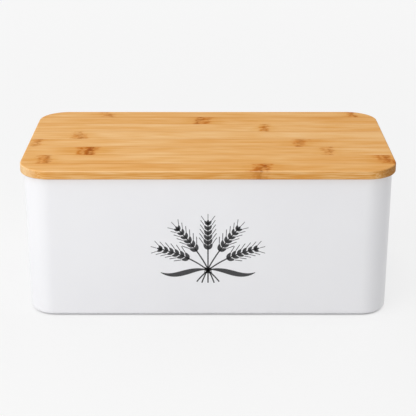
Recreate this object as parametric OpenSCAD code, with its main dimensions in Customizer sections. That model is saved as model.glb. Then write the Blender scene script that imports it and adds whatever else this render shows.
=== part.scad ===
// Bread bin: a wrapped and hemmed steel tub with a lift-off bamboo lid.
// X runs along the length, Y from front (-) to back (+), Z up. The origin is on the
// table under the middle of the bin. All sizes are millimetres.

/* [Tub] */
// Outside length of the tub, along X
tub_l = 324; // [240:1:420]
// Outside depth of the tub, along Y
tub_d = 174; // [130:1:240]
// Outside radius of the tub's upright corners
tub_corner_r = 24.5; // [16:0.5:40]
// Height of the rim's top above the table
rim_z = 131.3; // [90:0.1:200]
// Thickness of the steel sheet with its powder coat
sheet_t = 0.8; // [0.5:0.1:1.2]
// Depth of the closed hem that is folded inward at the rim
hem_h = 8; // [5:0.5:14]

/* [Bottom edge and base] */
// Outside radius of the wall's bottom edge, where the sheet turns under
edge_r = 3.5; // [2:0.25:5]
// Width of the flat flange that the wall turns in under the base panel
flange_w = 7; // [4:0.5:9]
// Clearance between the base panel's edge and the bend of the wall
panel_gap = 0.2; // [0.1:0.1:0.6]
// Rise of the base panel's middle above its welded border
panel_rise = 2; // [1:0.25:4]
// Width of the slope between the border and the raised middle
slope_w = 2; // [1:0.25:4]

/* [Back seam] */
// Width of the folded lock seam down the middle of the back
seam_w = 7; // [5:0.5:10]
// Width of the valley that the seam leaves on the outside
valley_w = 0.8; // [0.4:0.1:1.4]
// Depth of that valley
valley_d = 0.25; // [0.1:0.05:0.35]
// Distance that the seam stops short of the hem and of the bottom bend
seam_end_gap = 1.5; // [0.5:0.25:4]

/* [Feet] */
// Diameter of a foot pad
pad_d = 12; // [8:0.5:18]
// Distance from the tub's outside to the middle of a foot pad
pad_inset = 30; // [22:1:40]
// Height at which the pads hold the wall's bottom edge off the table
foot_lift = 1; // [0.5:0.25:3]
// Bevel round the foot of a pad
pad_bevel = 0.6; // [0.2:0.1:0.8]

/* [Lid] */
// Thickness of the lid's visible edge
lid_edge_t = 8; // [7:0.5:16]
// How far the lid stands out past the tub all round
lid_overhang = 3; // [1:0.25:6]
// Clearance between the rim's top and the underside of the lid
seat_gap = 0.2; // [0.1:0.1:0.5]
// Depth of the plug that drops inside the rim
plug_h = 5; // [4:0.5:8]
// Gap between the plug and the hem, which the seal's lips span
plug_gap = 2; // [1:0.25:4]
// Round-over along the lid's top edge
top_round = 1.25; // [0.5:0.25:3]
// Round-over along the lid's bottom edge
bottom_round = 0.8; // [0.4:0.1:1.5]
// Bevel round the bottom of the plug
plug_bevel = 0.6; // [0.2:0.1:0.9]
// Number of staves glued side by side
stave_count = 8; // [5:1:12]
// Width trimmed from each outer stave when the board is cut to size
edge_trim = 4; // [0:0.5:8]

/* [Seal] */
// Depth of the groove in the plug's side
groove_d = 2.5; // [1.5:0.25:4]
// Height of that groove
groove_h = 2.4; // [1.6:0.1:2.6]
// Clearance behind the seal, at the bottom of the groove
groove_gap = 0.1; // [0.05:0.05:0.3]
// Clearance between the relaxed lips and the hem
lip_gap = 0.3; // [0.2:0.05:0.6]
// Thickness of a lip at its root
lip_root_t = 0.8; // [0.5:0.1:1]
// Thickness of a lip at its tip
lip_tip_t = 0.35; // [0.2:0.05:0.4]
// How far a lip's tip droops below its root
lip_droop = 0.5; // [0:0.1:0.8]

/* [Hidden] */
$fn = 96;
// Extra length of a cut past the solid that it cuts
cut = 1;

// Heights, from the table up
edge_z = foot_lift;
flange_top_z = edge_z + sheet_t;
panel_z = flange_top_z + panel_rise;
panel_top_z = panel_z + sheet_t;
bend_z = edge_z + edge_r;
hem_z = rim_z - hem_h;
lid_z = rim_z + seat_gap;
lid_top_z = lid_z + lid_edge_t;
plug_z = lid_z - plug_h;
groove_z = plug_z + (plug_h - groove_h) / 2;

// Distances outward from the upright axes of the four rounded corners
core_x = tub_l / 2 - tub_corner_r;
core_y = tub_d / 2 - tub_corner_r;
hem_in_r = tub_corner_r - 2 * sheet_t;
bend_r = tub_corner_r - edge_r;
flange_in_r = bend_r - flange_w;
panel_out_r = bend_r - panel_gap;
panel_step_r = flange_in_r - slope_w;
lid_r = tub_corner_r + lid_overhang;
plug_r = hem_in_r - plug_gap;
groove_r = plug_r - groove_d;
lip_r = hem_in_r - lip_gap;

// Staves: the glued blank is one trim wider than the board at each long edge
lid_l = tub_l + 2 * lid_overhang;
lid_d = tub_d + 2 * lid_overhang;
stave_pitch = (lid_d + 2 * edge_trim) / stave_count;
blank_y = -lid_d / 2 - edge_trim;

// Feet: a name, then the signs of X and Y
feet = [
    ["front_left", -1, -1],
    ["front_right", 1, -1],
    ["back_left", -1, 1],
    ["back_right", 1, 1]
];

white_coat = "#e9e9eb";
grey_silicone = "#b9b9b6";
bamboo_tones = ["#dba767", "#e0b074", "#d8a262", "#dfac6e"];

// Carries a section round the bin: the section's x is the distance outward from the
// corner axes and its y is the height. Four straight runs join four turned corners.
module round_the_bin() {
    for (side = [0:3]) {
        long_side = side % 2 == 0;
        out = long_side ? core_x : core_y;
        along = long_side ? core_y : core_x;
        rotate([0, 0, 90 * side])
            translate([out, along, 0]) {
                rotate([90, 0, 0])
                    linear_extrude(height = 2 * along) children();
                rotate_extrude(angle = 90) children();
            }
    }
}

// Fills the middle, between the corner axes, from one height to another
module core(z_from, z_to) {
    translate([-core_x, -core_y, z_from])
        cube([2 * core_x, 2 * core_y, z_to - z_from]);
}

// The section of the tub's wall: flange, bend, upright sheet and folded hem
module wall_section() {
    translate([flange_in_r, edge_z])
        square([flange_w, sheet_t]);
    translate([bend_r, bend_z])
        intersection() {
            difference() {
                circle(edge_r);
                circle(edge_r - sheet_t);
            }
            translate([0, -edge_r]) square(edge_r);
        }
    translate([tub_corner_r - sheet_t, bend_z])
        square([sheet_t, rim_z - sheet_t - bend_z]);
    translate([hem_in_r, hem_z])
        square([sheet_t, hem_h - sheet_t]);
    translate([tub_corner_r - sheet_t, rim_z - sheet_t])
        intersection() {
            circle(sheet_t);
            translate([-sheet_t, 0]) square([2 * sheet_t, sheet_t]);
        }
}

// The lock seam's plan: from the middle of the sheet, the folds stand two sheets
// inside it, with sloped sides
module seam_plan() {
    sheet_y = tub_d / 2 - sheet_t / 2;
    inside_y = tub_d / 2 - sheet_t;
    fold_t = 2 * sheet_t;
    polygon([
        [-seam_w / 2, sheet_y],
        [-seam_w / 2, inside_y],
        [-seam_w / 2 + sheet_t, inside_y - fold_t],
        [seam_w / 2 - sheet_t, inside_y - fold_t],
        [seam_w / 2, inside_y],
        [seam_w / 2, sheet_y]
    ]);
}

module tub_wall() {
    seam_z = bend_z + seam_end_gap;
    seam_h = hem_z - seam_end_gap - seam_z;
    color(white_coat)
        difference() {
            union() {
                round_the_bin() wall_section();
                translate([0, 0, seam_z])
                    linear_extrude(height = seam_h) seam_plan();
            }
            translate([0, tub_d / 2, seam_z])
                linear_extrude(height = seam_h)
                    polygon([
                        [-valley_w / 2, 0],
                        [0, -valley_d],
                        [valley_w / 2, 0],
                        [valley_w / 2, cut],
                        [-valley_w / 2, cut]
                    ]);
        }
}

// The section of the base panel: welded border, slope and raised middle
module panel_section() {
    polygon([
        [0, panel_z],
        [panel_step_r, panel_z],
        [flange_in_r, flange_top_z],
        [panel_out_r, flange_top_z],
        [panel_out_r, flange_top_z + sheet_t],
        [flange_in_r, flange_top_z + sheet_t],
        [panel_step_r, panel_top_z],
        [0, panel_top_z]
    ]);
}

module base_panel() {
    color(white_coat) {
        round_the_bin() panel_section();
        core(panel_z, panel_top_z);
    }
}

// A silicone pad, stuck under the raised middle of the base panel
module foot_pad(foot) {
    x = foot[1] * (tub_l / 2 - pad_inset);
    y = foot[2] * (tub_d / 2 - pad_inset);
    color(grey_silicone)
        translate([x, y, 0])
            rotate_extrude()
                polygon([
                    [0, 0],
                    [pad_d / 2 - pad_bevel, 0],
                    [pad_d / 2, pad_bevel],
                    [pad_d / 2, panel_z],
                    [0, panel_z]
                ]);
}

// The section of the lid: rounded edge, rabbet, plug and the seal's groove
module lid_section() {
    difference() {
        union() {
            translate([0, lid_z])
                square([lid_r - top_round, lid_edge_t]);
            translate([0, lid_z + bottom_round])
                square([lid_r, lid_edge_t - top_round - bottom_round]);
            translate([lid_r - top_round, lid_top_z - top_round])
                intersection() {
                    circle(top_round);
                    square(top_round);
                }
            polygon([
                [0, plug_z],
                [plug_r - plug_bevel, plug_z],
                [plug_r, plug_z + plug_bevel],
                [plug_r, lid_z + bottom_round],
                [0, lid_z + bottom_round]
            ]);
        }
        translate([groove_r, groove_z])
            square([groove_d + cut, groove_h]);
        lid_underside_round();
    }
}

// What the lower round-over takes off the lid's bottom arris
module lid_underside_round() {
    translate([lid_r - bottom_round, lid_z])
        difference() {
            translate([0, -cut]) square([bottom_round + cut, bottom_round + cut]);
            translate([0, bottom_round]) circle(bottom_round);
        }
}

module lid_board() {
    round_the_bin() lid_section();
    core(plug_z, lid_top_z);
}

// One stave: the strip of the finished board between two glue lines
module lid_stave(i) {
    color(bamboo_tones[i % len(bamboo_tones)])
        intersection() {
            lid_board();
            translate([-lid_l / 2 - cut, blank_y + (i - 1) * stave_pitch, plug_z - cut])
                cube([lid_l + 2 * cut, stave_pitch, lid_top_z - plug_z + 2 * cut]);
        }
}

// The section of the seal: a root that fills the groove, and two drooping lips
module seal_section() {
    lip_reach = lip_r - plug_r;
    lip_half = lip_root_t / 2;
    translate([groove_r + groove_gap, groove_z])
        square([groove_d - groove_gap, groove_h]);
    for (lip_z = [groove_z + lip_half, groove_z + groove_h - lip_half])
        translate([plug_r, lip_z])
            polygon([
                [0, -lip_half],
                [lip_reach, -lip_droop],
                [lip_reach, lip_tip_t - lip_droop],
                [0, lip_half]
            ]);
}

module lid_seal() {
    color(grey_silicone)
        round_the_bin() seal_section();
}

tub_wall();
base_panel();
for (foot = feet)
    foot_pad(foot);
for (i = [1:stave_count])
    lid_stave(i);
lid_seal();
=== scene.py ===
import math

import bmesh
import bpy
from mathutils import Matrix, Vector


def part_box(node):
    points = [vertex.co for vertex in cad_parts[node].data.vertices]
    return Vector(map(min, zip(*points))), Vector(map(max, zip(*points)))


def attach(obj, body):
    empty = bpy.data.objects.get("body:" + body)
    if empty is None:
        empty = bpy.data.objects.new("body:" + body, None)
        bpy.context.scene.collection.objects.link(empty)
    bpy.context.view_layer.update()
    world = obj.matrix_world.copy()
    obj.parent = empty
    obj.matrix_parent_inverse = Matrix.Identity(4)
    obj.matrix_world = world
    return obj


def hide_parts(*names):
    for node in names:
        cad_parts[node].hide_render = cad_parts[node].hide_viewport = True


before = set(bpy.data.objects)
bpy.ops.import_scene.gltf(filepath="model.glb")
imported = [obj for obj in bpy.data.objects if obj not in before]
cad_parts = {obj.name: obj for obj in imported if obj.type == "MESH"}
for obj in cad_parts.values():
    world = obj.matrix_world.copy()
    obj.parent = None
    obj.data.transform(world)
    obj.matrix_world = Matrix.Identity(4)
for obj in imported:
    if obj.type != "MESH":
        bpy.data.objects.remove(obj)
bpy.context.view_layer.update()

# ---- Camera -------------------------------------------------------------------------
# The bin is seen square on, from about 1.1 m away and 47 cm up, so that the lid shows
# its whole top. The lens isn't shifted.

CAMERA_PLACE = (0.0, -1.0276, 0.4669)
CAMERA_DOWN = math.radians(21.079)
LENS_MM = 100.33
SENSOR_MM = 36.0

scene = bpy.context.scene
scene.view_settings.view_transform = "Standard"

camera = bpy.data.objects.new("camera", bpy.data.cameras.new("camera"))
camera.data.lens = LENS_MM
camera.data.sensor_width = SENSOR_MM
camera.location = CAMERA_PLACE
camera.rotation_euler = (math.pi / 2 - CAMERA_DOWN, 0.0, 0.0)
scene.collection.objects.link(camera)
scene.camera = camera

# ---- Table and studio light ---------------------------------------------------------
# A pale seamless table in a white room. One softbox hangs overhead and lights the lid, a
# key stands to the left, and fills stand in front and at both sides behind. The table shows
# its backdrop colour with a thinned shadow, which is full only in the gap under the bin, and
# away from the bin the colour is raised by what the lamps fall off.

MM = 0.001
PALE = "#f8f8f8"
TABLE_WHITE = "#f1f1f1"
TABLE_SIZE = 24.0
ROOM_LEVEL = 0.345
SHADOW_SHARE = 0.20
CONTACT_REACH = 40 * MM
CONTACT_SAMPLES = 16
FALL_OFF_FROM = 300 * MM
FALL_OFF_TO = 2000 * MM
FALL_OFF_GAIN = 1.08

# name, degrees round to the right of the front, degrees up, degrees across, level on a white
# sheet that faces it, and distance in metres, with 0 for one so far that it is a sun lamp
LAMPS = [
    ("softbox_above", -15, 70, 40, 0.155, 0),
    ("key_left", -58, 38, 50, 0.265, 1.8),
    ("fill_front", -28, 15, 50, 0.255, 1.7),
    ("fill_back_left", -140, 30, 60, 0.21, 0),
    ("fill_back_right", 124, 28, 60, 0.26, 0),
]


def linear(colour):
    """The linear RGBA of an sRGB hex colour."""
    parts = [int(colour[i:i + 2], 16) / 255 for i in (1, 3, 5)]
    return [p / 12.92 if p <= 0.04045 else ((p + 0.055) / 1.055) ** 2.4 for p in parts] + [1.0]


def add(tree, kind, inputs=None, **settings):
    """Adds a node. An input gets a value, a link from a socket, or one from each of a list."""
    made = tree.nodes.new(kind)
    for name, value in settings.items():
        setattr(made, name, value)
    for key, value in (inputs or {}).items():
        if isinstance(value, bpy.types.NodeSocket):
            tree.links.new(value, made.inputs[key])
        elif isinstance(value, list) and isinstance(value[0], bpy.types.NodeSocket):
            for source in value:
                tree.links.new(source, made.inputs[key])
        else:
            made.inputs[key].default_value = value
    return made


def new_material(name):
    """An empty node material and its tree."""
    material = bpy.data.materials.new(name)
    material.use_nodes = True
    material.node_tree.nodes.clear()
    return material, material.node_tree


def seen_directly(tree):
    """1 for camera, glossy and transmission rays, and 0 for the rays that light the bin."""
    path = add(tree, "ShaderNodeLightPath")
    either = add(tree, "ShaderNodeMath", {0: path.outputs["Is Camera Ray"],
                 1: path.outputs["Is Glossy Ray"]}, operation="MAXIMUM")
    return add(tree, "ShaderNodeMath", {0: either.outputs[0],
               1: path.outputs["Is Transmission Ray"]}, operation="MAXIMUM").outputs[0]


def table_sweep():
    """Matt white board. What lies open to the room glows pale, and what is shut off from it doesn't."""
    material, tree = new_material("table_sweep")
    sheet = add(tree, "ShaderNodeBsdfDiffuse", {"Color": linear(TABLE_WHITE)})
    spot = add(tree, "ShaderNodeTexCoord").outputs["Object"]
    away = add(tree, "ShaderNodeVectorMath", {0: spot}, operation="LENGTH").outputs["Value"]
    evened = add(tree, "ShaderNodeMapRange", {"Value": away, "From Min": FALL_OFF_FROM,
                 "From Max": FALL_OFF_TO, "To Min": 1.0,
                 "To Max": FALL_OFF_GAIN}).outputs["Result"]
    pale = add(tree, "ShaderNodeEmission", {"Color": linear(PALE), "Strength": evened})
    openness = add(tree, "ShaderNodeAmbientOcclusion", {"Distance": CONTACT_REACH},
                   samples=CONTACT_SAMPLES)
    glow = add(tree, "ShaderNodeValToRGB", {"Fac": openness.outputs["AO"]})
    stops = glow.color_ramp.elements
    stops[0].position, stops[0].color = 0.04, (0.0, 0.0, 0.0, 1.0)
    stops[1].position, stops[1].color = 1.0, (1.0, 1.0, 1.0, 1.0)
    stops.new(0.40).color = (0.93, 0.93, 0.93, 1.0)
    share = add(tree, "ShaderNodeMath", {0: glow.outputs["Color"], 1: 1 - SHADOW_SHARE},
                operation="MULTIPLY")
    shown = add(tree, "ShaderNodeMixShader", {0: share.outputs[0], 1: sheet.outputs[0],
                2: pale.outputs[0]})
    mixed = add(tree, "ShaderNodeMixShader", {0: seen_directly(tree), 1: sheet.outputs[0],
                2: shown.outputs[0]})
    add(tree, "ShaderNodeOutputMaterial", {"Surface": mixed.outputs[0]})
    return material


half = TABLE_SIZE / 2
table_mesh = bpy.data.meshes.new("table")
table_mesh.from_pydata([(-half, -half, 0), (half, -half, 0), (half, half, 0), (-half, half, 0)],
                       [], [(0, 1, 2, 3)])
table_mesh.materials.append(table_sweep())
table = bpy.data.objects.new("table", table_mesh)
scene.collection.objects.link(table)

world = bpy.data.worlds.new("pale_room")
scene.world = world
world.use_nodes = True
world.node_tree.nodes.clear()
room = add(world.node_tree, "ShaderNodeBackground", {"Color": linear("#ffffff"),
           "Strength": ROOM_LEVEL})
backdrop = add(world.node_tree, "ShaderNodeBackground", {"Color": linear(PALE), "Strength": 1.0})
room_or_backdrop = add(world.node_tree, "ShaderNodeMixShader", {
    0: seen_directly(world.node_tree), 1: room.outputs[0], 2: backdrop.outputs[0]})
add(world.node_tree, "ShaderNodeOutputWorld", {"Surface": room_or_backdrop.outputs[0]})

for lamp_name, around, up, across, level, distance in LAMPS:
    light = bpy.data.lights.new(lamp_name, "AREA" if distance else "SUN")
    if distance:
        light.shape = "DISK"
        light.size = 2 * distance * math.tan(math.radians(across / 2))
        light.energy = 4 * math.pi * distance ** 2 * level
    else:
        light.angle = math.radians(across)
        light.energy = math.pi * level
    lamp = bpy.data.objects.new(lamp_name, light)
    lamp.visible_camera = False
    turn, rise = math.radians(around), math.radians(up)
    lamp_side = Vector((math.sin(turn) * math.cos(rise), -math.cos(turn) * math.cos(rise),
                        math.sin(rise)))
    lamp.location = lamp_side * max(distance, 1.0)
    lamp.rotation_mode = "QUATERNION"
    lamp.rotation_quaternion = (-lamp_side).to_track_quat("-Z", "Y")
    scene.collection.objects.link(lamp)

# ---- Tub wall -----------------------------------------------------------------------
# One strip of 0.65 mm steel wrapped round the four corners, 0.8 mm with its coat. The rim
# is a closed hem folded inward, and the bottom edge turns under into the flange that
# carries the base. The ends meet in a lock seam down the middle of the back.

SHEET = 0.8 * MM
TUB_CORNER = 24.5 * MM
HEM = 8.0 * MM
EDGE_ROUND = 3.5 * MM
FLANGE = 7.0 * MM
SEAM_WIDTH = 7.0 * MM
SEAM_END_GAP = 1.5 * MM
VALLEY_WIDTH = 0.8 * MM
VALLEY_DEPTH = 0.25 * MM
HOLD = 0.4 * MM  # a flat face gets a row of its own this near a bend, so that it shades flat
CORNER_STEPS = 28
FRONT_ARC_STEPS = 10

tub_low, tub_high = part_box("tub_wall")
core_x = tub_high.x - TUB_CORNER
core_y = tub_high.y - TUB_CORNER
rim_z = tub_high.z
bend_z = tub_low.z + EDGE_ROUND
bend_out = TUB_CORNER - EDGE_ROUND
wall_in = TUB_CORNER - SHEET
hem_in = TUB_CORNER - 2 * SHEET
seam_low = bend_z + SEAM_END_GAP
seam_high = rim_z - HEM - SEAM_END_GAP


def stops_round(steps, back_stops=()):
    """Stops round the bin, anticlockwise from its right side: a place on the corners' axes, and the
    direction out. The long back gets more of them at the X places in back_stops."""
    stops = []
    for quarter, (sign_x, sign_y) in enumerate([(1, 1), (-1, 1), (-1, -1), (1, -1)]):
        for step in range(-1, steps + 2):
            turn = math.pi / 2 * (quarter + min(max(step, 0), steps) / steps)
            slide = HOLD if step < 0 else -HOLD if step > steps else 0.0
            out = (math.cos(turn), math.sin(turn))
            stops.append((sign_x * core_x + slide * out[1], sign_y * core_y - slide * out[0], *out))
        if quarter == 0:
            stops += [(x, core_y, 0.0, 1.0) for x in back_stops]
    return stops


def arc(centre, radius, start, end, steps):
    """Points of a round stretch of a section, from one angle in degrees to another."""
    angles = [math.radians(start + (end - start) * i / steps) for i in range(steps + 1)]
    return [(centre[0] + radius * math.cos(a), centre[1] + radius * math.sin(a)) for a in angles]


def swept(name, section, closed, back_stops=()):
    """Carries a section round the bin. Its points are a distance out from the corners' axes and a
    height. An open section has its two ends closed across the middle of the bin."""
    stops = stops_round(CORNER_STEPS, back_stops)
    count, rows = len(section), len(stops)
    points = [(x + out * dx, y + out * dy, z) for x, y, dx, dy in stops for out, z in section]
    faces = []
    for row in range(rows):
        here, there = row * count, (row + 1) % rows * count
        for i in range(count if closed else count - 1):
            j = (i + 1) % count
            faces.append((here + i, there + i, there + j, here + j))
    if not closed:
        faces.append([row * count for row in range(rows)])
        faces.append([row * count + count - 1 for row in reversed(range(rows))])
    mesh = bpy.data.meshes.new(name)
    mesh.from_pydata(points, [], faces)
    return mesh


def prism(name, outline, low, high, bevel):
    """An upright bar with this outline in plan, its arrises bevelled."""
    bar = bmesh.new()
    foot = bar.faces.new([bar.verts.new((x, y, low)) for x, y in outline])
    risen = bmesh.ops.extrude_face_region(bar, geom=[foot])
    tops = [item for item in risen["geom"] if isinstance(item, bmesh.types.BMVert)]
    bmesh.ops.translate(bar, verts=tops, vec=(0, 0, high - low))
    bmesh.ops.recalc_face_normals(bar, faces=bar.faces)
    bmesh.ops.bevel(bar, geom=bar.edges[:], offset=bevel, segments=3, profile=0.5, affect="EDGES")
    mesh = bpy.data.meshes.new(name)
    bar.to_mesh(mesh)
    bar.free()
    return mesh


def finish_mesh(mesh, material, sharp=30):
    """Turns the faces outward, shades the bends smooth and the edges crisp, and sets the finish."""
    tidy = bmesh.new()
    tidy.from_mesh(mesh)
    bmesh.ops.recalc_face_normals(tidy, faces=tidy.faces)
    tidy.to_mesh(mesh)
    tidy.free()
    mesh.shade_smooth()
    mesh.set_sharp_from_angle(angle=math.radians(sharp))
    mesh.materials.clear()
    mesh.materials.append(material)
    return mesh


def place(name, mesh, body, slot, *nodes):
    """Puts a finished mesh on its body, in place of its CAD nodes."""
    piece = bpy.data.objects.new(name, mesh)
    scene.collection.objects.link(piece)
    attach(piece, body)
    if nodes:
        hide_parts(*nodes)
    return piece


def powder_coat():
    """White polyester powder coat, baked on steel: an even satin, with the faint orange peel,
    about 1.5 mm across, that the melted powder leaves."""
    material, tree = new_material("white_powder_coat")
    spot = add(tree, "ShaderNodeTexCoord").outputs["Object"]
    peel = add(tree, "ShaderNodeTexNoise", {"Vector": spot, "Scale": 1 / (1.5 * MM),
               "Detail": 1.0, "Roughness": 0.4})
    cloud = add(tree, "ShaderNodeTexNoise", {"Vector": spot, "Scale": 1 / (70 * MM),
                "Detail": 2.0})
    tint = add(tree, "ShaderNodeMix", {0: cloud.outputs["Fac"], 6: linear("#e5e5e8"),
               7: linear("#e9e9eb")}, data_type="RGBA")
    rough = add(tree, "ShaderNodeMapRange", {"Value": cloud.outputs["Fac"], "To Min": 0.30,
                "To Max": 0.36})
    relief = add(tree, "ShaderNodeBump", {"Height": peel.outputs["Fac"], "Strength": 0.10,
                 "Distance": 0.05 * MM})
    coat = add(tree, "ShaderNodeBsdfPrincipled", {"Base Color": tint.outputs[2],
               "Roughness": rough.outputs["Result"], "Normal": relief.outputs["Normal"],
               "IOR": 1.5})
    add(tree, "ShaderNodeOutputMaterial", {"Surface": coat.outputs[0]})
    return material


white_coat = powder_coat()

wall_section = [
    (bend_out - FLANGE, tub_low.z),
    (bend_out - HOLD, tub_low.z),
    *arc((bend_out, bend_z), EDGE_ROUND, -90, 0, FRONT_ARC_STEPS),
    (TUB_CORNER, bend_z + HOLD),
    (TUB_CORNER, seam_low),
    (TUB_CORNER, seam_high),
    (TUB_CORNER, rim_z - SHEET - HOLD),
    *arc((wall_in, rim_z - SHEET), SHEET, 0, 180, FRONT_ARC_STEPS),
    (hem_in, rim_z - SHEET - HOLD),
    (hem_in, rim_z - HEM),
    (wall_in, rim_z - HEM),
    (wall_in, bend_z + HOLD),
    *arc((bend_out, bend_z), EDGE_ROUND - SHEET, 0, -90, FRONT_ARC_STEPS),
    (bend_out - HOLD, tub_low.z + SHEET),
    (bend_out - FLANGE, tub_low.z + SHEET),
]
valley_stops = [VALLEY_WIDTH * share for share in (1.5, 0.5, 0.0, -0.5, -1.5)]
wall = swept("tub_sheet", wall_section, closed=True, back_stops=valley_stops)
for vertex in wall.vertices:
    on_seam = abs(vertex.co.x) < VALLEY_WIDTH / 4 and vertex.co.y > tub_high.y - SHEET / 2
    if on_seam and seam_low - HOLD < vertex.co.z < seam_high + HOLD:
        vertex.co.y -= VALLEY_DEPTH
place("tub_sheet", finish_mesh(wall, white_coat), "tub", "coated_steel", "tub_wall")

seam_outline = [
    (-SEAM_WIDTH / 2, tub_high.y - SHEET / 2),
    (-SEAM_WIDTH / 2, tub_high.y - SHEET),
    (-SEAM_WIDTH / 2 + SHEET, tub_high.y - 3 * SHEET),
    (SEAM_WIDTH / 2 - SHEET, tub_high.y - 3 * SHEET),
    (SEAM_WIDTH / 2, tub_high.y - SHEET),
    (SEAM_WIDTH / 2, tub_high.y - SHEET / 2),
]
seam = prism("back_seam", seam_outline, seam_low, seam_high, bevel=0.2 * MM)
place("back_seam", finish_mesh(seam, white_coat), "tub", "coated_steel", "tub_wall")

# ---- Base panel ---------------------------------------------------------------------
# A tray pressed from the same coated sheet. Its border is spot-welded to the wall's
# flange, and the middle is raised, so that the bin stands on its pads.

PANEL_GAP = 0.2 * MM
PANEL_SLOPE = 2.0 * MM
PRESS_ROUND = 0.6 * MM
PRESS_STEPS = 12
WELD_SPACING = 28 * MM
WELD_WIDTH = 4.4 * MM
WELD_RISE = 0.12 * MM

base_low, base_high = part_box("base_panel")
panel_rise = base_high.z - base_low.z - SHEET
border_in = bend_out - FLANGE
border_out = bend_out - PANEL_GAP


def pressed_step(level):
    """The panel's drawn step at one face of the sheet, from the raised middle to the border."""
    start = border_in - PANEL_SLOPE - PRESS_ROUND
    run = PANEL_SLOPE + 2 * PRESS_ROUND
    shares = [i / PRESS_STEPS for i in range(PRESS_STEPS + 1)]
    return [(start + run * t, level + panel_rise * (1 - t * t * (3 - 2 * t))) for t in shares]


panel_section = [
    *pressed_step(base_low.z + SHEET),
    (border_out, base_low.z + SHEET),
    (border_out, base_low.z),
    *reversed(pressed_step(base_low.z)),
]
panel = finish_mesh(swept("base_tray", panel_section, closed=False), white_coat)
place("base_tray", panel, "tub", "coated_steel", "base_panel")


def tree_with(name, sockets):
    """A Geometry Nodes tree with these named inputs, and its input node's sockets by name."""
    tree = bpy.data.node_groups.new(name, "GeometryNodeTree")
    for label, kind in sockets.items():
        tree.interface.new_socket(label, in_out="INPUT", socket_type=f"NodeSocket{kind}")
    tree.interface.new_socket("Mesh", in_out="OUTPUT", socket_type="NodeSocketGeometry")
    return tree, add(tree, "NodeGroupInput").outputs


def grown(name, tree, values):
    """The plain mesh that a Geometry Nodes tree makes from these values of its named inputs."""
    maker = bpy.data.objects.new(name, bpy.data.meshes.new(name))
    scene.collection.objects.link(maker)
    modifier = maker.modifiers.new("grow", "NODES")
    modifier.node_group = tree
    for item in tree.interface.items_tree:
        if item.in_out == "INPUT":
            modifier[item.identifier] = values[item.name]
    shaped = maker.evaluated_get(bpy.context.evaluated_depsgraph_get())
    mesh = bpy.data.meshes.new_from_object(shaped)
    bpy.data.objects.remove(maker)
    return mesh


def weld_tree():
    """Spot welds at even steps round a rounded rectangle: low round dimples with a raised rim."""
    tree, given = tree_with("spot_welds", {"Length": "Float", "Depth": "Float",
                            "Corner": "Float", "Spacing": "Float", "Width": "Float",
                            "Rise": "Float", "Finish": "Material"})
    frame_line = add(tree, "GeometryNodeCurvePrimitiveQuadrilateral",
                     {"Width": given["Length"], "Height": given["Depth"]})
    rounded = add(tree, "GeometryNodeFilletCurve", {"Curve": frame_line.outputs[0],
                  "Count": 16, "Radius": given["Corner"]}, mode="POLY")
    steps = add(tree, "GeometryNodeCurveToPoints", {"Curve": rounded.outputs[0],
                "Length": given["Spacing"]}, mode="LENGTH")
    round_line = add(tree, "GeometryNodeCurvePrimitiveCircle", {"Resolution": 20, "Radius": 1.0})
    size = add(tree, "ShaderNodeMath", {0: given["Width"], 1: 0.5}, operation="MULTIPLY")
    wide = add(tree, "ShaderNodeCombineXYZ", {0: size.outputs[0], 1: size.outputs[0], 2: 1.0})
    ring = add(tree, "GeometryNodeTransform", {"Geometry": round_line.outputs["Curve"],
               "Scale": wide.outputs[0]})
    bead = add(tree, "GeometryNodeCurvePrimitiveCircle", {"Resolution": 10,
               "Radius": given["Rise"]})
    flat_bead = add(tree, "GeometryNodeTransform", {"Geometry": bead.outputs["Curve"],
                    "Scale": (4.0, 1.0, 1.0)})
    torus = add(tree, "GeometryNodeCurveToMesh", {"Curve": ring.outputs[0],
                "Profile Curve": flat_bead.outputs[0]})
    put = add(tree, "GeometryNodeInstanceOnPoints", {"Points": steps.outputs["Points"],
              "Instance": torus.outputs[0]})
    real = add(tree, "GeometryNodeRealizeInstances", {"Geometry": put.outputs[0]})
    finished = add(tree, "GeometryNodeSetMaterial", {"Geometry": real.outputs[0],
                   "Material": given["Finish"]})
    add(tree, "NodeGroupOutput", {"Mesh": finished.outputs[0]})
    return tree


weld_line = (border_in + border_out) / 2
welds = grown("spot_welds", weld_tree(), {
    "Length": 2 * (core_x + weld_line), "Depth": 2 * (core_y + weld_line),
    "Corner": weld_line, "Spacing": WELD_SPACING, "Width": WELD_WIDTH, "Rise": WELD_RISE,
    "Finish": white_coat})
welds.transform(Matrix.Translation((0, 0, base_low.z + SHEET)))
place("spot_welds", finish_mesh(welds, white_coat, sharp=60), "tub", "coated_steel")

# ---- Foot pads ----------------------------------------------------------------------
# Four round silicone pads, moulded with a soft edge and glued under the raised base.

PAD_EDGE = 0.6 * MM
PAD_STEPS = 48


def turned(name, centre, profile):
    """A solid turned about an upright axis, from its profile of radius and height, foot first."""
    turns = [2 * math.pi * i / PAD_STEPS for i in range(PAD_STEPS)]
    points = [(centre.x + r * math.cos(a), centre.y + r * math.sin(a), z)
              for r, z in profile for a in turns]
    faces = [[i for i in reversed(range(PAD_STEPS))],
             [(len(profile) - 1) * PAD_STEPS + i for i in range(PAD_STEPS)]]
    for row in range(len(profile) - 1):
        here, there = row * PAD_STEPS, (row + 1) * PAD_STEPS
        for i in range(PAD_STEPS):
            j = (i + 1) % PAD_STEPS
            faces.append((here + i, here + j, there + j, there + i))
    mesh = bpy.data.meshes.new(name)
    mesh.from_pydata(points, [], faces)
    return mesh


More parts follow.
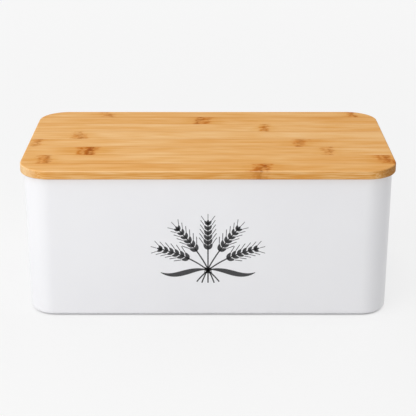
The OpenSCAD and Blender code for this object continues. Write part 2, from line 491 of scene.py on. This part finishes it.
def silicone(name, colour, roughness):
    """Moulded silicone rubber: soft, matt and slightly cloudy, with the mould's fine blasted grain."""
    material, tree = new_material(name)
    spot = add(tree, "ShaderNodeTexCoord").outputs["Object"]
    grain = add(tree, "ShaderNodeTexNoise", {"Vector": spot, "Scale": 1 / (0.5 * MM),
                "Detail": 2.0})
    cloud = add(tree, "ShaderNodeTexNoise", {"Vector": spot, "Scale": 1 / (9 * MM)})
    tint = add(tree, "ShaderNodeMix", {0: cloud.outputs["Fac"], 6: linear(colour[0]),
               7: linear(colour[1])}, data_type="RGBA")
    relief = add(tree, "ShaderNodeBump", {"Height": grain.outputs["Fac"], "Strength": 0.3,
                 "Distance": 0.04 * MM})
    body = add(tree, "ShaderNodeBsdfPrincipled", {"Base Color": tint.outputs[2],
               "Roughness": roughness, "Normal": relief.outputs["Normal"], "IOR": 1.41,
               "Subsurface Weight": 0.25, "Subsurface Scale": 1.0 * MM})
    add(tree, "ShaderNodeOutputMaterial", {"Surface": body.outputs[0]})
    return material


pad_silicone = silicone("grey_pad_silicone", ("#a9a9a6", "#b6b6b3"), 0.72)
for corner in ("front_left", "front_right", "back_left", "back_right"):
    pad_low, pad_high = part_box(f"foot_pad_{corner}")
    pad_radius = (pad_high.x - pad_low.x) / 2
    pad_profile = [
        (pad_radius - PAD_EDGE - HOLD, pad_low.z),
        *arc((pad_radius - PAD_EDGE, pad_low.z + PAD_EDGE), PAD_EDGE, -90, 0, 6),
        (pad_radius, pad_low.z + PAD_EDGE + HOLD),
        (pad_radius, pad_high.z),
    ]
    pad = turned(f"pad_{corner}", (pad_low + pad_high) / 2, pad_profile)
    place(f"pad_{corner}", finish_mesh(pad, pad_silicone, sharp=50), "tub", "pad_silicone",
          f"foot_pad_{corner}")

# ---- Print --------------------------------------------------------------------------
# A sheaf of five wheat ears, screen-printed in charcoal ink in the middle of the front.
# The ink lies on the coat as one thin film.

FILM = 0.05 * MM
FILM_ROOT = 0.15 * MM  # how far the film's solid reaches back into the coated sheet
EAR_STEM = 1.2 * MM
KERNELS = 6
KERNEL = (7.4 * MM, 3.3 * MM)
KERNEL_SPLAY = math.radians(34)
AWN = (6.5 * MM, 0.65 * MM)
BARE_STEM = 0.58  # the share of the stem that is below the kernels
TIP_SHRINK = 0.78  # the size of the kernel at the tip, as a share of the first one's
# root, bend and tip of each ear's stem, across the front and up it, in mm
EARS = [
    ((0, 33), (0, 60), (0, 88)),
    ((-5.5, 33), (3, 58), (25, 83)),
    ((-10, 34), (6, 56), (40, 65)),
]


def ink():
    """Charcoal screen-printing ink: a thin even film, duller than the coat, slightly mottled."""
    material, tree = new_material("charcoal_ink")
    spot = add(tree, "ShaderNodeTexCoord").outputs["Object"]
    mottle = add(tree, "ShaderNodeTexNoise", {"Vector": spot, "Scale": 1 / (1.2 * MM),
                 "Detail": 2.0})
    tint = add(tree, "ShaderNodeMix", {0: mottle.outputs["Fac"], 6: linear("#2d2d2f"),
               7: linear("#3b3b3d")}, data_type="RGBA")
    film = add(tree, "ShaderNodeBsdfPrincipled", {"Base Color": tint.outputs[2],
               "Roughness": 0.5, "IOR": 1.5})
    add(tree, "ShaderNodeOutputMaterial", {"Surface": film.outputs[0]})
    return material


def as_film(tree, flat, given):
    """Thickens flat outlines into closed films, in the given ink, and ends the tree."""
    real = add(tree, "GeometryNodeRealizeInstances", {"Geometry": flat})
    raised = add(tree, "GeometryNodeExtrudeMesh", {"Mesh": real.outputs[0],
                 "Offset": (0.0, 0.0, 1.0), "Offset Scale": given["Film"], "Individual": False})
    under = add(tree, "GeometryNodeFlipFaces", {"Mesh": real.outputs[0]})
    both = add(tree, "GeometryNodeJoinGeometry", {0: [raised.outputs["Mesh"], under.outputs[0]]})
    closed = add(tree, "GeometryNodeMergeByDistance", {"Geometry": both.outputs[0],
                 "Distance": 1e-6})
    real = add(tree, "GeometryNodeRealizeInstances", {"Geometry": closed.outputs[0]})
    inked = add(tree, "GeometryNodeSetMaterial", {"Geometry": real.outputs[0],
                "Material": given["Ink"]})
    add(tree, "NodeGroupOutput", {"Mesh": inked.outputs[0]})


def ear_tree():
    """An ear of wheat, flat in XY: a curved stem, paired kernels with their awns up its end, and
    one more kernel at the tip."""
    tree, given = tree_with("wheat_ear", {"Root": "Vector", "Bend": "Vector", "Tip": "Vector",
                            "Stem width": "Float", "Kernel pairs": "Int",
                            "Kernel length": "Float", "Kernel width": "Float",
                            "Splay": "Float", "Awn length": "Float", "Awn width": "Float",
                            "Bare share": "Float", "Film": "Float", "Ink": "Material"})
    stem = add(tree, "GeometryNodeCurveQuadraticBezier", {"Resolution": 40,
               "Start": given["Root"], "Middle": given["Bend"], "End": given["Tip"]}).outputs[0]
    half_width = add(tree, "ShaderNodeMath", {0: given["Stem width"], 1: 0.5},
                     operation="MULTIPLY").outputs[0]
    across = add(tree, "ShaderNodeCombineXYZ", {0: half_width}).outputs[0]
    back_across = add(tree, "ShaderNodeVectorMath", {0: across, "Scale": -1.0},
                      operation="SCALE").outputs[0]
    pen = add(tree, "GeometryNodeCurvePrimitiveLine", {"Start": back_across, "End": across})
    ribbon = add(tree, "GeometryNodeCurveToMesh", {"Curve": stem, "Profile Curve": pen.outputs[0]})

    ear = add(tree, "GeometryNodeTrimCurve", {"Curve": stem, 2: given["Bare share"]}).outputs[0]
    seats = add(tree, "GeometryNodeResampleCurve", {"Curve": ear,
                "Count": given["Kernel pairs"]}).outputs[0]
    rows = add(tree, "GeometryNodeCurveToPoints", {"Curve": seats}, mode="EVALUATED").outputs
    heading = add(tree, "ShaderNodeSeparateXYZ", {"Vector": rows["Tangent"]}).outputs
    lean = add(tree, "ShaderNodeMath", {0: heading["Y"], 1: heading["X"]},
               operation="ARCTAN2").outputs[0]
    index = add(tree, "GeometryNodeInputIndex").outputs[0]
    last = add(tree, "ShaderNodeMath", {0: given["Kernel pairs"], 1: 1.0},
               operation="SUBTRACT").outputs[0]
    shrink = add(tree, "ShaderNodeMapRange", {"Value": index, "From Max": last, "To Min": 1.0,
                 "To Max": TIP_SHRINK}).outputs["Result"]
    is_last = add(tree, "ShaderNodeMath", {0: index, 1: last}, operation="COMPARE").outputs[0]

    disc = add(tree, "GeometryNodeMeshCircle", {"Vertices": 24, "Radius": 1.0}, fill_type="NGON")
    where = add(tree, "ShaderNodeSeparateXYZ", {
        "Vector": add(tree, "GeometryNodeInputPosition").outputs[0]}).outputs
    span = add(tree, "ShaderNodeMapRange", {"Value": where["X"], "From Min": -1.0,
               "To Max": given["Kernel length"]}).outputs["Result"]
    bulge = add(tree, "ShaderNodeMath", {0: where["Y"]}, operation="ABSOLUTE").outputs[0]
    bulge = add(tree, "ShaderNodeMath", {0: bulge, 1: where["Y"]}, operation="MULTIPLY").outputs[0]
    taper = add(tree, "ShaderNodeMath", {0: where["X"], 1: -0.13, 2: 0.5},
                operation="MULTIPLY_ADD").outputs[0]
    bulge = add(tree, "ShaderNodeMath", {0: bulge, 1: taper}, operation="MULTIPLY").outputs[0]
    bulge = add(tree, "ShaderNodeMath", {0: bulge, 1: given["Kernel width"]},
                operation="MULTIPLY").outputs[0]
    almond = add(tree, "GeometryNodeSetPosition", {"Geometry": disc.outputs[0],
                 "Position": add(tree, "ShaderNodeCombineXYZ", {0: span, 1: bulge}).outputs[0]})
    awn_end = add(tree, "ShaderNodeMath", {0: given["Kernel length"], 1: given["Awn length"]},
                  operation="ADD").outputs[0]
    awn_line = add(tree, "GeometryNodeCurvePrimitiveLine", {
        "Start": add(tree, "ShaderNodeCombineXYZ", {0: given["Kernel length"]}).outputs[0],
        "End": add(tree, "ShaderNodeCombineXYZ", {0: awn_end}).outputs[0]})
    half_awn = add(tree, "ShaderNodeMath", {0: given["Awn width"], 1: 0.5},
                   operation="MULTIPLY").outputs[0]
    awn_across = add(tree, "ShaderNodeCombineXYZ", {0: half_awn}).outputs[0]
    awn_back = add(tree, "ShaderNodeVectorMath", {0: awn_across, "Scale": -1.0},
                   operation="SCALE").outputs[0]
    awn_pen = add(tree, "GeometryNodeCurvePrimitiveLine", {"Start": awn_back, "End": awn_across})
    awn = add(tree, "GeometryNodeCurveToMesh", {"Curve": awn_line.outputs[0],
              "Profile Curve": awn_pen.outputs[0]})
    grain = add(tree, "GeometryNodeJoinGeometry", {0: [almond.outputs[0], awn.outputs[0]]})

    parts = [ribbon.outputs[0]]
    for side in (-1.0, 0.0, 1.0):
        turn = add(tree, "ShaderNodeMath", {0: given["Splay"], 1: side, 2: lean},
                   operation="MULTIPLY_ADD").outputs[0]
        facing = add(tree, "ShaderNodeCombineXYZ", {2: turn}).outputs[0]
        put = add(tree, "GeometryNodeInstanceOnPoints", {"Points": rows["Points"],
                  "Instance": grain.outputs[0], "Rotation": facing, "Scale": shrink})
        if side == 0.0:
            tree.links.new(is_last, put.inputs["Selection"])
        parts.append(put.outputs[0])
    flat = add(tree, "GeometryNodeJoinGeometry", {0: parts})
    as_film(tree, flat.outputs[0], given)
    return tree


def stroke_tree():
    """A pen stroke, flat in XY: a curved line that swells in the middle and thins to its ends."""
    tree, given = tree_with("pen_stroke", {"Start": "Vector", "Start pull": "Vector",
                            "End pull": "Vector", "End": "Vector", "Width": "Float",
                            "End width": "Float", "Film": "Float", "Ink": "Material"})
    line = add(tree, "GeometryNodeCurvePrimitiveBezierSegment", {"Resolution": 32,
               "Start": given["Start"], "Start Handle": given["Start pull"],
               "End Handle": given["End pull"], "End": given["End"]}).outputs[0]
    line = add(tree, "GeometryNodeResampleCurve", {"Curve": line, "Count": 32}).outputs[0]
    along = add(tree, "GeometryNodeSplineParameter").outputs["Factor"]
    phase = add(tree, "ShaderNodeMath", {0: along, 1: math.pi}, operation="MULTIPLY").outputs[0]
    swell = add(tree, "ShaderNodeMath", {0: phase}, operation="SINE").outputs[0]
    width = add(tree, "ShaderNodeMapRange", {"Value": swell, "To Min": given["End width"],
                "To Max": given["Width"]}).outputs["Result"]
    pen = add(tree, "GeometryNodeCurvePrimitiveLine", {"Start": (-0.5, 0.0, 0.0),
              "End": (0.5, 0.0, 0.0)})
    ribbon = add(tree, "GeometryNodeCurveToMesh", {"Curve": line, "Profile Curve": pen.outputs[0],
                 "Scale": width})
    as_film(tree, ribbon.outputs[0], given)
    return tree


charcoal = ink()
wheat = ear_tree()
pen_stroke = stroke_tree()
film_facts = {"Film": FILM + FILM_ROOT, "Ink": charcoal}


def on_front(point, side=1):
    """A point of the print, across the front and up it in mm, as the trees take it."""
    return (side * point[0] * MM, point[1] * MM, 0.0)


drawn = []
for ear, (root, bend, tip) in enumerate(EARS):
    for side in (-1, 1) if ear else (1,):
        drawn.append(grown("ear", wheat, {
            "Root": on_front(root, side), "Bend": on_front(bend, side),
            "Tip": on_front(tip, side), "Stem width": EAR_STEM, "Kernel pairs": KERNELS,
            "Kernel length": KERNEL[0], "Kernel width": KERNEL[1], "Splay": KERNEL_SPLAY,
            "Awn length": AWN[0], "Awn width": AWN[1], "Bare share": BARE_STEM, **film_facts}))
# start, its pull, the end's pull, end, width in the middle and at the ends, in mm
STROKES = [
    ((1, 46), (18, 47), (28, 36), (42, 43), 4.8, 0.5),
    ((-3.4, 43.6), (-1, 42.6), (1, 42.6), (3.4, 43.6), 1.5, 1.1),
    ((-3.4, 45.6), (-1, 44.6), (1, 44.6), (3.4, 45.6), 1.5, 1.1),
    ((-3.4, 47.6), (-1, 46.6), (1, 46.6), (3.4, 47.6), 1.5, 1.1),
]
for start, start_pull, end_pull, end, width, end_width in STROKES:
    for side in (-1, 1) if start[0] > 0 else (1,):
        drawn.append(grown("stroke", pen_stroke, {
            "Start": on_front(start, side), "Start pull": on_front(start_pull, side),
            "End pull": on_front(end_pull, side), "End": on_front(end, side),
            "Width": width * MM, "End width": end_width * MM, **film_facts}))

sheaf = bmesh.new()
for mesh in drawn:
    sheaf.from_mesh(mesh)
    bpy.data.meshes.remove(mesh)
upright = Matrix.Translation((0, tub_low.y + FILM_ROOT, 0)) @ Matrix.Rotation(math.pi / 2, 4, "X")
bmesh.ops.transform(sheaf, matrix=upright, verts=sheaf.verts)
print_mesh = bpy.data.meshes.new("wheat_print")
sheaf.to_mesh(print_mesh)
sheaf.free()
place("wheat_print", finish_mesh(print_mesh, charcoal), "tub", "coated_steel")

# ---- Lid ----------------------------------------------------------------------------
# Eight staves of carbonised bamboo, glued side by side and cut as one board: rounded
# corners and arrises, a rabbet that leaves the plug inside the rim, and a groove for the
# seal. The board is sanded and has a thin satin varnish.

LID_OVERHANG = 3.0 * MM
PLUG = 5.0 * MM
PLUG_GAP = 2.0 * MM
PLUG_BEVEL = 0.6 * MM
TOP_ROUND = 1.25 * MM
BOTTOM_ROUND = 0.8 * MM
GROOVE_DEPTH = 2.5 * MM
GROOVE_HEIGHT = 2.4 * MM

# front to back: how far the stave is paler, as a share of the tones, then each knuckle's X and
# half width in mm, its darkness, its lean as X over Y, how much it widens to the back, and how
# far off its middle, in half widths, its pair of dark lines runs, plus where the right one is
# the darker and minus where the left one is
STAVES = [
    (-0.036, [(46.5, 7.5, 0.95, 0.28, 0.0, 0.30)]),
    (0.002, [(-145.0, 5.4, 0.68, 0.0, 0.0, 0.65), (157.0, 6.8, 0.70, -0.35, 0.0, 0.40)]),
    (0.007, [(-109.0, 8.0, 1.00, 0.05, 0.05, 0.35), (108.0, 4.0, 0.60, 0.05, 0.0, 0.60)]),
    (0.006, [(-158.0, 4.5, 0.52, 0.15, 0.4, 0.30), (84.5, 5.6, 0.62, 0.15, 0.3, 0.15)]),
    (0.060, [(-120.5, 6.5, 0.60, -0.20, -0.3, 0.20)]),
    (0.016, [(54.5, 3.4, 0.90, 0.05, -0.5, 0.10)]),
    (-0.022, [(-5.5, 6.4, 0.85, 0.12, -0.1, -0.55)]),
    (0.0, [(-100.5, 5.5, 0.50, -0.30, -0.4, 0.25), (142.5, 5.0, 0.72, 0.0, 0.0, 0.45)]),
]

# the grain's layers, as length along the stave and width across it in mm, and detail: slow
# drift, clouds, streaks and single fibre bundles
GRAIN = [(170, 12, 1.0), (48, 9, 1.0), (180, 2.4, 1.5), (24, 0.8, 1.5)]
FRAY = 16 * MM  # how far the fibres carry a knuckle's edge to and fro
WANDER = 8 * MM  # how far the knuckle bends on its way across the stave
NO_GLUE = 10 * MM  # moves the glue line off the board at its two long edges

board_low, board_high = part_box("lid_stave_4")
lid_out = TUB_CORNER + LID_OVERHANG
lid_z = board_low.z + PLUG
plug_out = hem_in - PLUG_GAP
groove_out = plug_out - GROOVE_DEPTH
groove_z = board_low.z + (PLUG - GROOVE_HEIGHT) / 2
groove_top = groove_z + GROOVE_HEIGHT
board_section = [
    (lid_out - TOP_ROUND - HOLD, board_high.z),
    *arc((lid_out - TOP_ROUND, board_high.z - TOP_ROUND), TOP_ROUND, 90, 0, 8),
    (lid_out, board_high.z - TOP_ROUND - HOLD),
    (lid_out, lid_z + BOTTOM_ROUND + HOLD),
    *arc((lid_out - BOTTOM_ROUND, lid_z + BOTTOM_ROUND), BOTTOM_ROUND, 0, -90, 6),
    (lid_out - BOTTOM_ROUND - HOLD, lid_z),
    (plug_out, lid_z),
    (plug_out, groove_top),
    (groove_out, groove_top),
    (groove_out, groove_z),
    (plug_out, groove_z),
    (plug_out, board_low.z + PLUG_BEVEL),
    (plug_out - PLUG_BEVEL, board_low.z),
]


def grain_scale(length, width):
    """The scale that gives a noise this length along the stave and this width across it, in mm."""
    return (1 / (length * MM), 1 / (width * MM), 1 / (width * MM))


def bamboo(number, paler, knuckles, front, back):
    """Carbonised bamboo: straight fibres in close tones of toffee, with brown, frayed knuckles
    right across the stave. The ends show dotted bundles, and the glue lines are a thin brown. The
    thin varnish leaves it all but matt."""
    material, tree = new_material(f"bamboo_stave_{number}")
    local = add(tree, "ShaderNodeTexCoord").outputs
    own = add(tree, "ShaderNodeMapping", {"Vector": local["Object"],
              "Location": (0.41 * number, 0.13 * number, 0.29 * number)}).outputs[0]
    layers = []
    for length, width, detail in GRAIN:
        stretched = add(tree, "ShaderNodeMapping", {"Vector": own,
                        "Scale": grain_scale(length, width)})
        layers.append(add(tree, "ShaderNodeTexNoise", {"Vector": stretched.outputs[0],
                      "Scale": 1.0, "Detail": detail, "Roughness": 0.55}).outputs["Fac"])
    drift, cloud, streak, fibre = layers

    # the knuckles, whose edges fray along the fibres
    spot = add(tree, "ShaderNodeSeparateXYZ", {"Vector": local["Object"]}).outputs
    off_middle = add(tree, "ShaderNodeMapRange", {"Value": spot["Y"], "From Min": front,
                     "From Max": back, "To Min": -1.0}).outputs["Result"]
    wander = add(tree, "ShaderNodeTexNoise", {"Vector": own, "Scale": 1 / (8 * MM),
                 "Detail": 1.0}).outputs["Fac"]
    mottle = add(tree, "ShaderNodeTexNoise", {"Vector": own, "Scale": 1 / (5 * MM),
                 "Detail": 2.0}).outputs["Fac"]
    mottle = add(tree, "ShaderNodeMapRange", {"Value": mottle, "From Min": 0.40,
                 "From Max": 0.56, "To Min": 0.3}).outputs["Result"]
    frayed = add(tree, "ShaderNodeMath", {0: fibre, 1: FRAY, 2: spot["X"]},
                 operation="MULTIPLY_ADD").outputs[0]
    frayed = add(tree, "ShaderNodeMath", {0: wander, 1: WANDER, 2: frayed},
                 operation="MULTIPLY_ADD").outputs[0]
    stain = line = tail = 0.0
    for x, half_width, dark, lean, widening, split in knuckles:
        slid = add(tree, "ShaderNodeMath", {0: off_middle, 1: -lean * (back - front) / 2,
                   2: frayed}, operation="MULTIPLY_ADD").outputs[0]
        slid = add(tree, "ShaderNodeMath", {0: slid, 1: x * MM + (FRAY + WANDER) / 2},
                   operation="SUBTRACT").outputs[0]
        wide = add(tree, "ShaderNodeMath", {0: off_middle, 1: widening * half_width * MM,
                   2: half_width * MM}, operation="MULTIPLY_ADD").outputs[0]
        across = add(tree, "ShaderNodeMath", {0: slid, 1: wide}, operation="DIVIDE").outputs[0]
        away = add(tree, "ShaderNodeMath", {0: across}, operation="ABSOLUTE").outputs[0]
        off_line = add(tree, "ShaderNodeMath", {0: away, 1: abs(split)},
                       operation="SUBTRACT").outputs[0]
        off_line = add(tree, "ShaderNodeMath", {0: off_line}, operation="ABSOLUTE").outputs[0]
        darker = add(tree, "ShaderNodeMapRange", {"Value": across, "From Min": -0.15,
                     "From Max": 0.15, "To Min": dark if split < 0 else 0.35 * dark,
                     "To Max": 0.35 * dark if split < 0 else dark}).outputs["Result"]
        marks = []
        # each mark: what it is measured by, where it ends and is full, in half widths, and depth
        for distance, outer, inner, depth in ((away, 1.3, 0.75, dark),
                                              (off_line, 0.45, 0.1, darker),
                                              (away, 4.5, 1.0, dark)):
            marks.append(add(tree, "ShaderNodeMapRange", {"Value": distance, "From Min": outer,
                         "From Max": inner, "To Max": depth},
                         interpolation_type="SMOOTHSTEP").outputs["Result"])
        stain, line, tail = [add(tree, "ShaderNodeMath", {0: mark, 1: before},
                             operation="MAXIMUM").outputs[0]
                             for mark, before in zip(marks, (stain, line, tail))]

    # the close fibres of the board's sides tell more than those of its top
    facing = add(tree, "ShaderNodeSeparateXYZ", {"Vector": local["Normal"]}).outputs
    upright = add(tree, "ShaderNodeMath", {0: facing["Z"]}, operation="ABSOLUTE").outputs[0]
    side = add(tree, "ShaderNodeMapRange", {"Value": upright, "From Min": 0.35,
               "From Max": 0.15}).outputs["Result"]
    closer = add(tree, "ShaderNodeMapRange", {"Value": fibre, "From Min": 0.3, "From Max": 0.7,
                 "To Min": -0.09, "To Max": 0.09}).outputs["Result"]
    tone = add(tree, "ShaderNodeMath", {0: side, 1: closer, 2: paler},
               operation="MULTIPLY_ADD").outputs[0]
    tone = add(tree, "ShaderNodeMath", {0: streak, 1: 0.22, 2: tone},
               operation="MULTIPLY_ADD").outputs[0]
    for layer, share in ((drift, 0.16), (cloud, 0.20), (fibre, 0.24)):
        tone = add(tree, "ShaderNodeMath", {0: layer, 1: share, 2: tone},
                   operation="MULTIPLY_ADD").outputs[0]
    ramp = add(tree, "ShaderNodeValToRGB", {"Fac": tone})
    stops = ramp.color_ramp.elements
    stops[0].position, stops[0].color = 0.285, linear("#dc9a4c")
    stops[1].position, stops[1].color = 0.535, linear("#f1c68e")
    stops.new(0.41).color = linear("#e7b06c")
    colour = ramp.outputs["Color"]

    # the stains glaze the wood, more in the softer streaks and half as much on the board's sides:
    # each colour is what the stain leaves of the light
    soft = add(tree, "ShaderNodeMapRange", {"Value": streak, "From Min": 0.66,
               "From Max": 0.38, "To Min": 0.4}).outputs["Result"]
    less_aside = add(tree, "ShaderNodeMath", {0: side, 1: -0.5, 2: 1.0},
                     operation="MULTIPLY_ADD").outputs[0]
    for mark, thinned, glaze in ((tail, soft, "#f4e5bf"), (stain, mottle, "#e4b75c"),
                                 (line, mottle, "#c2a87c")):
        amount = add(tree, "ShaderNodeMath", {0: mark, 1: thinned},
                     operation="MULTIPLY").outputs[0]
        amount = add(tree, "ShaderNodeMath", {0: amount, 1: less_aside},
                     operation="MULTIPLY").outputs[0]
        colour = add(tree, "ShaderNodeMix", {0: amount, 6: colour, 7: linear(glaze)},
                     data_type="RGBA", blend_type="MULTIPLY").outputs[2]

    # the sawn ends: dots about a millimetre apart, in a ground painted pale at the left end, as a
    #     # painted sheen, and brown at the right one, as painted shade
    endward = add(tree, "ShaderNodeMath", {0: facing["X"]}, operation="ABSOLUTE").outputs[0]
    sawn = add(tree, "ShaderNodeMapRange", {"Value": endward, "From Min": 0.2, "From Max": 0.8},
               interpolation_type="SMOOTHSTEP").outputs["Result"]
    # painted light and shade: the ends' ground runs from a pale sheen at the left to brown at the right
    toward_shaded_end = add(tree, "ShaderNodeMapRange", {"Value": spot["X"], "From Min": -100 * MM,
                    "From Max": 100 * MM}).outputs["Result"]
    painted_end_light = add(tree, "ShaderNodeMix", {0: toward_shaded_end, 6: linear("#f3d7ab"),
                 7: linear("#87552a")}, data_type="RGBA").outputs[2]
    bundles = add(tree, "ShaderNodeTexVoronoi", {"Vector": add(tree, "ShaderNodeMapping", {
                  "Vector": own, "Scale": grain_scale(30, 1.1)}).outputs[0], "Scale": 1.0})
    dots = add(tree, "ShaderNodeMapRange", {"Value": bundles.outputs["Distance"],
               "From Min": 0.42, "From Max": 0.18, "To Min": 0.48, "To Max": 0.82})
    ends = add(tree, "ShaderNodeMath", {0: sawn, 1: dots.outputs["Result"]},
               operation="MULTIPLY").outputs[0]
    colour = add(tree, "ShaderNodeMix", {0: ends, 6: colour, 7: painted_end_light},
                 data_type="RGBA").outputs[2]

    # the glue line at each side of the stave, where the next one is glued on
    front_glue = front - (NO_GLUE if number == 1 else 0.0)
    back_glue = back + (NO_GLUE if number == len(STAVES) else 0.0)
    to_front = add(tree, "ShaderNodeMath", {0: spot["Y"], 1: front_glue},
                   operation="SUBTRACT").outputs[0]
    to_back = add(tree, "ShaderNodeMath", {0: back_glue, 1: spot["Y"]},
                  operation="SUBTRACT").outputs[0]
    to_side = add(tree, "ShaderNodeMath", {0: to_front, 1: to_back},
                  operation="MINIMUM").outputs[0]
    darker_side = add(tree, "ShaderNodeMapRange", {"Value": drift, "From Min": 0.62,
                      "From Max": 0.40, "To Max": 0.7}).outputs["Result"]
    for reach, depth, glaze in ((3.0, darker_side, "#f2e2cb"), (0.3, 0.40, "#ceae89")):
        glue = add(tree, "ShaderNodeMapRange", {"Value": to_side, "From Min": reach * MM,
                   "From Max": 0.0, "To Max": depth}).outputs["Result"]
        colour = add(tree, "ShaderNodeMix", {0: glue, 6: colour, 7: linear(glaze)},
                     data_type="RGBA", blend_type="MULTIPLY").outputs[2]

    # the board's sides are a little greyer. The lower arris is drawn darker, as painted shade for the
    #     # thin line of shade under the lid, and the upper one is drawn paler, as a painted highlight
    #     in
    #     # patches, which is weaker toward the right end and along the sawn ends
    greyer = add(tree, "ShaderNodeMath", {0: side, 1: 0.28}, operation="MULTIPLY").outputs[0]
    colour = add(tree, "ShaderNodeMix", {0: greyer, 6: colour, 7: linear("#cccccc")},
                 data_type="RGBA", blend_type="MULTIPLY").outputs[2]
    lower = add(tree, "ShaderNodeMapRange", {"Value": facing["Z"], "From Min": -0.25,
                "From Max": -0.6, "To Max": 0.6}).outputs["Result"]
    underneath = add(tree, "ShaderNodeMapRange", {"Value": facing["Z"], "From Min": -0.95,
                     "From Max": -0.7}).outputs["Result"]
    lower = add(tree, "ShaderNodeMath", {0: lower, 1: underneath},
                operation="MULTIPLY").outputs[0]
    colour = add(tree, "ShaderNodeMix", {0: lower, 6: colour, 7: linear("#6b4a2c")},
                 data_type="RGBA").outputs[2]
    from_top = add(tree, "ShaderNodeMath", {0: 1.0, 1: facing["Z"]},
                   operation="SUBTRACT").outputs[0]
    rounded = add(tree, "ShaderNodeMath", {0: facing["Z"], 1: from_top},
                  operation="MULTIPLY").outputs[0]
    rounded = add(tree, "ShaderNodeMapRange", {"Value": rounded, "From Min": 0.10,
                  "From Max": 0.22}, interpolation_type="SMOOTHSTEP").outputs["Result"]
    # painted highlight on the rounded upper arris, broken into patches by the cloud layer
    highlight_patches = add(tree, "ShaderNodeMapRange", {"Value": cloud, "From Min": 0.34,
                 "From Max": 0.50}).outputs["Result"]
    painted_arris_highlight = add(tree, "ShaderNodeMath", {0: rounded, 1: highlight_patches},
                  operation="MULTIPLY").outputs[0]
    long_edge = add(tree, "ShaderNodeMapRange", {"Value": endward, "From Min": 0.60,
                    "From Max": 0.25, "To Min": 0.1, "To Max": 0.40}).outputs["Result"]
    # the painted highlight fades toward the right, away from the key lamp
    lit_left_share = add(tree, "ShaderNodeMapRange", {"Value": spot["X"], "From Min": 60 * MM,
                    "From Max": 100 * MM, "To Min": 1.0, "To Max": 0.4}).outputs["Result"]
    for share in (long_edge, lit_left_share):
        painted_arris_highlight = add(tree, "ShaderNodeMath", {0: painted_arris_highlight, 1: share},
                      operation="MULTIPLY").outputs[0]
    colour = add(tree, "ShaderNodeMix", {0: painted_arris_highlight, 6: colour, 7: linear("#ffe2b4")},
                 data_type="RGBA").outputs[2]

    rough = add(tree, "ShaderNodeMapRange", {"Value": fibre, "To Min": 0.74, "To Max": 0.62})
    relief = add(tree, "ShaderNodeBump", {"Height": fibre, "Strength": 0.15,
                 "Distance": 0.06 * MM})
    wood = add(tree, "ShaderNodeBsdfPrincipled", {"Base Color": colour,
               "Roughness": rough.outputs["Result"], "Normal": relief.outputs["Normal"],
               "IOR": 1.45, "Specular IOR Level": 0.06})
    add(tree, "ShaderNodeOutputMaterial", {"Surface": wood.outputs[0]})
    return material


def cut_stave(board, name, front, back):
    """A stave: the strip of the finished board between two glue lines."""
    strip = bmesh.new()
    strip.from_mesh(board)
    for y, keep in ((front, 1), (back, -1)):
        if not min(v.co.y for v in strip.verts) < y < max(v.co.y for v in strip.verts):
            continue
        everything = strip.verts[:] + strip.edges[:] + strip.faces[:]
        bmesh.ops.bisect_plane(strip, geom=everything, dist=1e-7, plane_co=(0, y, 0),
                               plane_no=(0, keep, 0), clear_inner=True)
        rim = [edge for edge in strip.edges if edge.is_boundary]
        bmesh.ops.holes_fill(strip, edges=rim, sides=0)
    mesh = bpy.data.meshes.new(name)
    strip.to_mesh(mesh)
    strip.free()
    return mesh


board = swept("lid_board", board_section, closed=False)
for number, (paler, knuckles) in enumerate(STAVES, start=1):
    stave_low, stave_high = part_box(f"lid_stave_{number}")
    front, back = stave_low.y, stave_high.y
    stave = cut_stave(board, f"bamboo_{number}", front, back)
    finish = bamboo(number, paler, knuckles, front, back)
    place(f"bamboo_{number}", finish_mesh(stave, finish), "lid", "bamboo", f"lid_stave_{number}")
bpy.data.meshes.remove(board)

# ---- Lid seal -----------------------------------------------------------------------
# An extruded silicone ring, pressed into the plug's groove, with two thin lips that bear
# on the hem.

GROOVE_GAP = 0.1 * MM
LIP_GAP = 0.3 * MM
LIP_ROOT = 0.8 * MM
LIP_TIP = 0.35 * MM
LIP_DROOP = 0.5 * MM

tip_out = hem_in - LIP_GAP - LIP_TIP / 2
seal_section = [(groove_out + GROOVE_GAP, groove_z)]
for lip_z in (groove_z + LIP_ROOT / 2, groove_top - LIP_ROOT / 2):
    tip_z = lip_z - LIP_DROOP + LIP_TIP / 2
    seal_section.append((plug_out, lip_z - LIP_ROOT / 2))
    seal_section += arc((tip_out, tip_z), LIP_TIP / 2, -90, 90, 6)
    seal_section.append((plug_out, lip_z + LIP_ROOT / 2))
seal_section.append((groove_out + GROOVE_GAP, groove_top))
seal_silicone = silicone("clear_seal_silicone", ("#c9c9c4", "#d6d6d1"), 0.55)
seal = finish_mesh(swept("seal_ring", seal_section, closed=True), seal_silicone)
place("seal_ring", seal, "lid", "seal_silicone", "lid_seal")
